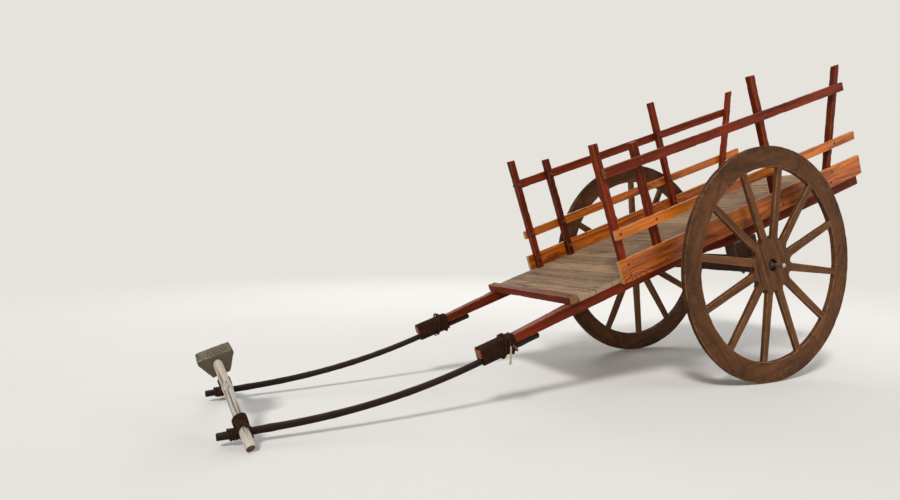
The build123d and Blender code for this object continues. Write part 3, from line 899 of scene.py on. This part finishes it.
def bolt_nut(bm, place, axis):
    """A square nut on a washer, with the end of its bolt standing through."""
    for radius, height, sides, taper in nut_discs:
        shape = {"segments": sides, "radius1": radius, "radius2": radius * (1 - taper), "depth": height}
        made = bmesh.ops.create_cone(bm, cap_ends=True, **shape)["verts"]
        bmesh.ops.translate(bm, verts=made, vec=(0, 0, height / 2))
        bmesh.ops.transform(bm, verts=made, matrix=standing(place, axis))
        place = place + axis * height


bolts = bmesh.new()
stake_inner_y = level_box("left_stakes")[0].y
plank_outer_y = level_box("left_side_plank")[1].y
for flip in (1, -1):
    for foot_x, top_x, top_z in stake_places:
        for z in bolt_rows:
            x = foot_x + (top_x - foot_x) * (z - deck_top) / (top_z - deck_top)
            bolt_head(bolts, Vector((x, flip * (plank_outer_y - 0.0008), z)), sideways * flip)
            if z > deck_top + nut_room:
                bolt_nut(bolts, Vector((x, flip * (stake_inner_y + 0.0006), z)), sideways * -flip)
fit_piece("rail_bolts", bolts, rusty_iron)

frame_bolts = bmesh.new()
beam_bottom = level_box("axle_beam")[0].z
cross_low, cross_high = level_box("front_cross_beam")
for flip in (1, -1):
    cross_spot = Vector(((cross_low.x + cross_high.x) / 2, flip * shaft_y, cross_high.z - 0.0008))
    bolt_head(frame_bolts, cross_spot, upward)
    for x in (-0.030, 0.030):
        bolt_nut(frame_bolts, Vector((x, flip * shaft_y, beam_bottom + 0.0010)), -upward)
fit_piece("frame_bolts", frame_bolts, rusty_iron)

# Poles. Two round sapling poles, barked and tarred nearly black, lashed under the shafts and bent up
# towards the yoke.
pole_r = 0.018
pole_rear = Vector((1.650, shaft_y, 0.1766))
pole_corner = Vector((2.577, shaft_y, 0.1766))
pole_front = Vector((3.338, 0.402, 0.379))
pole_bend_r = 3.8
# a stick is drawn this much thinner, so that its swellings stay within the real radius
stick_trim = 0.985


def ways_along(places):
    """The ways to the side, up and on at each place along a line, untwisted from one to the next."""
    side_way = (places[1] - places[0]).orthogonal().normalized()
    for i in range(len(places)):
        out = (places[min(i + 1, len(places) - 1)] - places[max(i - 1, 0)]).normalized()
        side_way = (side_way - out * side_way.dot(out)).normalized()
        yield side_way, out.cross(side_way), out


def rod(bm, spine, sizes, sides, luck):
    """A round stick along a line of places, with a radius at each. Its grain runs from end to end."""
    grain, tone, butt = wood_marks(bm)
    heart = Vector((luck.uniform(0, 60), luck.uniform(-0.004, 0.004), luck.uniform(-0.004, 0.004)))
    shade = luck.random()
    travelled = 0.0
    loop = bmesh.ops.create_circle(bm, cap_ends=True, segments=sides, radius=1.0)["verts"]
    loop[0].link_faces[0][butt] = 1.0
    start = Matrix.Identity(4)
    edges = list(dict.fromkeys(e for v in loop for e in v.link_edges))
    for i, (place, radius, ways) in enumerate(zip(spine, sizes, ways_along(spine))):
        finish = Matrix(ways).transposed().to_4x4()
        finish.translation = place
        finish = finish @ Matrix.Diagonal((radius, radius, 1, 1))
        if i:
            travelled += (place - spine[i - 1]).length
            made = bmesh.ops.extrude_edge_only(bm, edges=edges)["geom"]
            loop = [g for g in made if isinstance(g, bmesh.types.BMVert)]
            edges = [g for g in made if isinstance(g, bmesh.types.BMEdge)]
            for edge in edges:
                for face in edge.link_faces:
                    face[butt] = 0.0
        bmesh.ops.transform(bm, verts=loop, matrix=finish @ start.inverted())
        start = finish
        for vert in loop:
            spot = vert.co - place
            vert[grain] = heart + Vector((travelled, spot.dot(ways[0]), spot.dot(ways[1])))
            vert[tone] = shade
    for face in bmesh.ops.contextual_create(bm, geom=edges)["faces"]:
        face[butt] = 1.0
    bmesh.ops.recalc_face_normals(bm, faces=bm.faces)


def bent_line(first, corner, last, radius, step):
    """Places along a straight, a bend of the given radius and another straight."""
    inward = (corner - first).normalized()
    outward = (last - corner).normalized()
    half = inward.angle(outward) / 2
    reach = radius * math.tan(half)
    start = corner - inward * reach
    finish = corner + outward * reach
    side_way = (outward - inward * inward.dot(outward)).normalized()
    centre = start + side_way * radius
    count = round((start - first).length / step)
    places = [first.lerp(start, i / count) for i in range(count)]
    count = round(radius * half * 2 / step)
    for i in range(count):
        turn = half * 2 * i / count
        places.append(centre - side_way * radius * math.cos(turn) + inward * radius * math.sin(turn))
    count = round((last - finish).length / step)
    return places + [finish.lerp(last, i / count) for i in range(count + 1)]


def natural_stick(places, radius, luck, knots):
    """Radii for a stick cut from a sapling, which swells at its knots."""
    shift = luck.uniform(0, 50)
    length = sum((b - a).length for a, b in zip(places, places[1:]))
    swellings = [(luck.uniform(0.05, length - 0.05), luck.uniform(0.03, 0.10)) for _ in range(knots)]
    sizes = []
    travelled = 0.0
    for i, place in enumerate(places):
        if i:
            travelled += (place - places[i - 1]).length
        size = 1.0 + 0.025 * noise.noise(Vector((travelled * 6, shift, 0)))
        for spot, swell in swellings:
            size += swell * math.exp(-(((travelled - spot) / 0.018) ** 2))
        sizes.append(radius * stick_trim * size)
    return sizes


def blunted(places, sizes, back, share):
    """The same stick with the corners off its ends: back by a part of a step, and down to a share."""
    near = places[0].lerp(places[1], back)
    far = places[-1].lerp(places[-2], back)
    places = [places[0], near, *places[1:-1], far, places[-1]]
    sizes = [sizes[0] * share, sizes[0], *sizes[1:-1], sizes[-2], sizes[-1] * share]
    return places, sizes


def fit_sticks(kind, name, node, places, radius, wood, knots, back, share, sides):
    """A left stick along a line and a right one along its mirror image, each with its own swellings."""
    for side, flip in (("left", 1), ("right", -1)):
        luck = random.Random(f"{kind} {side}")
        line, sizes = blunted(places, natural_stick(places, radius, luck, knots), back, share)
        stick = bmesh.new()
        rod(stick, [Vector((p.x, p.y * flip, p.z)) for p in line], sizes, sides, luck)
        fit_piece(f"{side}_{name}", stick, wood, f"{side}_{node}")


pole_wood = grained_wood(
    "pole_wood",
    pale=(40, 22, 15), dark=(16, 9, 7), rubbed=(92, 64, 48), soil=(46, 35, 28), ends=(84, 60, 44),
    ring=0.006, rings=0.2, streaks=0.7, fibres=0.6, spread=0.2, knots=0.8, checks=0.8,
    dirt=0.4, dust=0.05, rough=0.5, shine=0.12, bump=0.9,
)
pole_line = bent_line(pole_rear, pole_corner, pole_front, pole_bend_r, 0.02)
pole_shape = {"knots": 9, "back": 0.2, "share": 0.82, "sides": 20}
fit_sticks("pole", "pole_stick", "pole", pole_line, pole_r, pole_wood, **pole_shape)

# Shaft lashings. Tarred hemp rope is wound seventeen times round each shaft and pole, crossed back over
# itself and knotted, with one pale frayed end left hanging.
rope_r = 0.0062
turn_pitch = 0.0128
wound_x = (1.808, 2.024)
tip_half_w = 0.026
tip_z = (0.195, 0.243)
tip_corner = 0.004
riding = rope_r * 1.75
crossing = rope_r * 3.3
knot_r = 0.0052
wrap_corners = 72
turn_steps = 90
tie = Vector((1.846, shaft_y + tip_half_w + rope_r * 3.4, 0.206))
# turns so far, x, and height over the shaft of the rope that crosses back over the others
riding_marks = (
    (0.83, 1.846, crossing), (0.90, 1.848, riding), (1.20, 1.866, riding), (1.45, 1.892, riding),
    (1.56, 1.899, riding), (1.66, 1.897, riding), (1.83, 1.884, riding), (1.96, 1.874, riding),
    (2.07, 1.865, crossing), (2.20, 1.853, riding), (2.50, 1.834, riding), (2.62, 1.832, riding),
    (2.76, 1.838, riding), (2.83, 1.846, crossing),
)


def hemp(name):
    """Hard-laid rope: dark with tar, fuzzy, lighter brown in patches, and pale where an end has frayed."""
    material, nodes, shader, coords = new_material(name)
    yarn = nodes.clouds(coords, 520, 520, 3.0, 0.7)
    shade = nodes.times(nodes.clouds(coords, 24, 24, 4.0), 0.7)
    shade = nodes.ramp(nodes.plus(shade, nodes.times(yarn, 0.6)), (0.4, 0.0), (0.9, 1.0))
    dark = nodes.mix(shade, srgb(24, 12, 7), srgb(70, 43, 27))
    pale = nodes.mix(yarn, srgb(150, 128, 98), srgb(206, 188, 156))
    colour = nodes.mix(nodes.mark("bleached"), dark, pale)
    sockets = {"Base Color": colour, "Roughness": 0.86, "Specular IOR Level": 0.12}
    sockets["Normal"] = nodes.bump(yarn, 0.7, 0.0008)
    nodes.wire(shader, sockets)
    return material


def even_steps(places, step):
    """The same line, with places at even distances along it."""
    kept = [places[0]]
    for place in places[1:]:
        while (place - kept[-1]).length > step:
            kept.append(kept[-1] + (place - kept[-1]).normalized() * step)
    return kept


def lay_rope(bm, places, radius, bleach=0.0, fray=0.0, step=0.004):
    """Three strands twisted together along a line. A frayed end lets them spread apart."""
    places = even_steps(places, step)
    lines = ([], [], [])
    for i, (place, (side_way, up_way, _)) in enumerate(zip(places, ways_along(places))):
        left = (len(places) - 1 - i) * step
        spread = radius * 0.5 * (1.0 + fray * max(0.0, 1 - left / 0.022) ** 2)
        for k, line in enumerate(lines):
            turn = i * step / (radius * 6.4) * math.tau + k * math.tau / 3
            line.append(place + (side_way * math.cos(turn) + up_way * math.sin(turn)) * spread)
    strands = bpy.data.curves.new("strands", "CURVE")
    strands.dimensions = "3D"
    strands.bevel_depth = radius * 0.52
    strands.bevel_resolution = 1
    strands.use_fill_caps = True
    for line in lines:
        spline = strands.splines.new("POLY")
        spline.points.add(len(line) - 1)
        for point, place in zip(spline.points, line):
            point.co = (*place, 1.0)
    holder = bpy.data.objects.new("strands", strands)
    mesh = bpy.data.meshes.new_from_object(holder)
    if "bleached" not in bm.verts.layers.float:
        bm.verts.layers.float.new("bleached")
    count = len(bm.verts)
    bm.from_mesh(mesh)
    bleached = bm.verts.layers.float["bleached"]
    for vert in bm.verts[count:]:
        vert[bleached] = bleach
    bpy.data.objects.remove(holder)
    bpy.data.curves.remove(strands)
    bpy.data.meshes.remove(mesh)


def wrap_line(rounds):
    """The line, with its normals, that a taut rope takes round circles given as (y, z, radius)."""
    line = []
    for k in range(wrap_corners):
        turn = math.tau * k / wrap_corners
        out = Vector((math.cos(turn), math.sin(turn)))
        y, z, radius = max(rounds, key=lambda c: c[0] * out.x + c[1] * out.y + c[2])
        line.append((Vector((y, z)) + out * radius, out))
    return line


def wind(line, marks, luck):
    """Rope along a wrapped line. Each mark says how far forward it is and how high it lies at some turn."""
    closed = line + line[:1]
    lengths = [0.0]
    for (a, _), (b, _) in zip(closed, closed[1:]):
        lengths.append(lengths[-1] + (b - a).length)
    shift = luck.uniform(0, 50)
    places = []
    for (turn_a, x_a, lift_a), (turn_b, x_b, lift_b) in zip(marks, marks[1:]):
        count = max(2, round((turn_b - turn_a) * turn_steps))
        for i in range(count):
            t = i / count
            turn = turn_a + (turn_b - turn_a) * t
            at = (turn % 1.0) * lengths[-1]
            k = max(j for j in range(len(line)) if lengths[j] <= at)
            part = (at - lengths[k]) / max(lengths[k + 1] - lengths[k], 1e-9)
            out = closed[k][1].lerp(closed[k + 1][1], part)
            spot = closed[k][0].lerp(closed[k + 1][0], part) + out * (lift_a + (lift_b - lift_a) * t)
            sway = noise.noise(Vector((turn * 1.7, shift, 0))) * 0.0015
            places.append(Vector((x_a + (x_b - x_a) * t + sway, spot.x, spot.y)))
    return places


tarred_rope = hemp("tarred_rope")
corner = tip_half_w - tip_corner
rounds = [(shaft_y, pole_rear.z, pole_r + rope_r)]
for z in (tip_z[1] - tip_corner, tip_z[0] + tip_corner):
    for y in (shaft_y + corner, shaft_y - corner):
        rounds.append((y, z, tip_corner + rope_r))
line = wrap_line(rounds)
turns = round((wound_x[1] - wound_x[0]) / turn_pitch)
winding_marks = ((0.6, wound_x[0], 0.0), (0.6 + turns, wound_x[1], 0.0))
# the knot is a trefoil, and two ends hang from it
knot_line = []
for k in range(60):
    t = math.tau * (k + 2) / 64
    x = (math.sin(t) + 2 * math.sin(2 * t)) * knot_r
    z = (math.cos(t) - 2 * math.cos(2 * t)) * knot_r
    knot_line.append(tie + Vector((x, -math.sin(3 * t) * 0.0058, z)))
long_end = [tie + Vector((0.010, 0.004, -0.006))]
short_end = [tie + Vector((-0.008, 0.004, -0.004))]
for k in range(1, 20):
    t = k / 19
    fall = Vector((0.010 + 0.038 * t, 0.006 + 0.013 * math.sin(t * 2.4), -0.006 - 0.084 * t ** 1.3))
    long_end.append(tie + fall)
    short_end.append(tie + Vector((-0.008 - 0.012 * t, 0.004 + 0.006 * t, -0.004 - 0.040 * t)))
for side in ("left", "right"):
    luck = random.Random("lashing " + side)
    lashing = bmesh.new()
    lay_rope(lashing, wind(line, winding_marks, luck), rope_r)
    lay_rope(lashing, wind(line, riding_marks, luck), rope_r)
    lay_rope(lashing, knot_line, rope_r * 0.9)
    lay_rope(lashing, long_end, rope_r * 0.85, bleach=0.9, fray=1.6)
    lay_rope(lashing, short_end, rope_r * 0.85, bleach=0.25, fray=1.2)
    if side == "right":
        mirror(lashing)
    fit_piece(side + "_lashing_rope", lashing, tarred_rope, side + "_shaft_lashing")

# Yoke legs. Straight peeled rods, pale and smooth, dark at their sawn ends. They stand in the crown and
# lie over the poles.
leg_r = 0.023
leg_length = 0.552
leg_steps = 28
leg_blunting = 0.003
peeled_wood = grained_wood(
    "peeled_wood",
    pale=(216, 207, 194), dark=(152, 139, 124), rubbed=(228, 221, 210), soil=(138, 122, 106),
    ends=(98, 60, 42),
    ring=0.005, rings=0.2, streaks=0.5, fibres=0.5, spread=0.2, knots=0.6, checks=0.7,
    dirt=0.5, dust=0.0, rough=0.52, shine=0.35, bump=0.5,
)
# a leg's box is as wide as its run and its fall, plus the tilted ends of a round rod
leg_low, leg_high = level_box("left_yoke_leg")
leg_span = leg_high - leg_low
square = leg_length ** 2 - 4 * leg_r ** 2
leg_run = (leg_length * leg_span.y - 2 * leg_r * leg_span.z) / square
leg_fall = (leg_length * leg_span.z - 2 * leg_r * leg_span.y) / square
leg_axis = Vector((0, leg_run, -leg_fall)).normalized()
leg_top = Vector((leg_low.x + leg_r, leg_low.y + leg_r * leg_fall, leg_high.z - leg_r * leg_run))
leg_line = [leg_top + leg_axis * leg_length * k / leg_steps for k in range(leg_steps + 1)]
leg_shape = {"knots": 4, "back": leg_blunting * leg_steps / leg_length, "share": 0.88, "sides": 24}
fit_sticks("leg", "yoke_rod", "yoke_leg", leg_line, leg_r, peeled_wood, **leg_shape)

# Yoke lashings. The same rope ties each leg down on its pole: three turns make a collar on the leg, four
# cross over the joint, and three more round the pole in front of it keep the leg from sliding off.
pole_way = (pole_front - pole_corner).normalized()
pole_spot = pole_corner + pole_way * ((leg_top.x - pole_corner.x) / pole_way.x)
leg_spot = leg_top + leg_axis * (pole_spot - leg_top).dot(leg_axis)
joint_way = (leg_spot - pole_spot).normalized()
on_leg = leg_r + rope_r
on_pole = pole_r + rope_r
collar_spot = leg_spot - leg_axis * 0.038
front_spot = pole_spot + pole_way * (leg_r + 0.029)
coil_turns = 3
coil_steps = 40


def coil(centre, axis, radius, length):
    """Turns of rope wound round a stick."""
    across = axis.cross(-joint_way).normalized()
    places = []
    for i in range(coil_steps * coil_turns + 1):
        turn = math.tau * i / coil_steps
        along = axis * length * (i / (coil_steps * coil_turns) - 0.5)
        places.append(centre + along + (across * math.sin(turn) - joint_way * math.cos(turn)) * radius)
    return places


def crossed_turn(lean, aside, lift):
    """One turn round both sticks, aslant over the leg and under the pole, where it starts and ends."""
    places = []
    for k in range(61):
        turn = math.pi + math.tau * k / 60
        over = math.cos(turn)
        across = math.sin(turn)
        if over > 0:
            out = joint_way * over + pole_way * across * lean
            slide = leg_axis * (0.024 * across + aside * over)
            places.append(leg_spot + out * (on_leg + lift * over) + slide)
        else:
            out = joint_way * over + leg_axis * across
            slide = pole_way * (0.026 * across * lean - aside * over)
            places.append(pole_spot + out * (on_pole - lift * over) + slide)
    return places


for side in ("left", "right"):
    binding = bmesh.new()
    lay_rope(binding, coil(collar_spot, leg_axis, on_leg, 0.036), rope_r)
    lay_rope(binding, coil(front_spot, pole_way, on_pole, 0.037), rope_r)
    for lean, lift in ((1, 0.001), (-1, 0.009)):
        for aside in (-rope_r, rope_r):
            lay_rope(binding, crossed_turn(lean, aside, lift), rope_r)
    if side == "right":
        mirror(binding)
    fit_piece(side + "_yoke_rope", binding, tarred_rope, "yoke_lashings")

# Yoke crown. A block hewn from one baulk, broad on top and hollowed beneath. It is dark and weathered,
# and its thin upper corners are worn pale.
crown_wood = grained_wood(
    "crown_wood",
    pale=(110, 99, 80), dark=(52, 44, 35), rubbed=(200, 190, 164), soil=(64, 56, 45), ends=(100, 88, 68),
    ring=0.009, rings=0.35, streaks=0.6, fibres=0.7, spread=0.2, knots=0.5, checks=1.0,
    dirt=0.5, dust=0.14, rough=0.72, shine=0.25, bump=1.0,
)
crown = level_copy("yoke_crown")
round_arrises(crown, 0.006, 3, 25)
lay_grain(crown, lambda c: sideways, lambda c: upward, random.Random("crown"))
for way in (forward, sideways, upward):
    cut_across(crown, way, 0.012)
hew(crown, 0.0016, 14)
hew(crown, 0.0008, 38)
wear(crown, 0.005, 16.0, 2.2)
fit_piece("crown_block", crown, crown_wood, "yoke_crown")
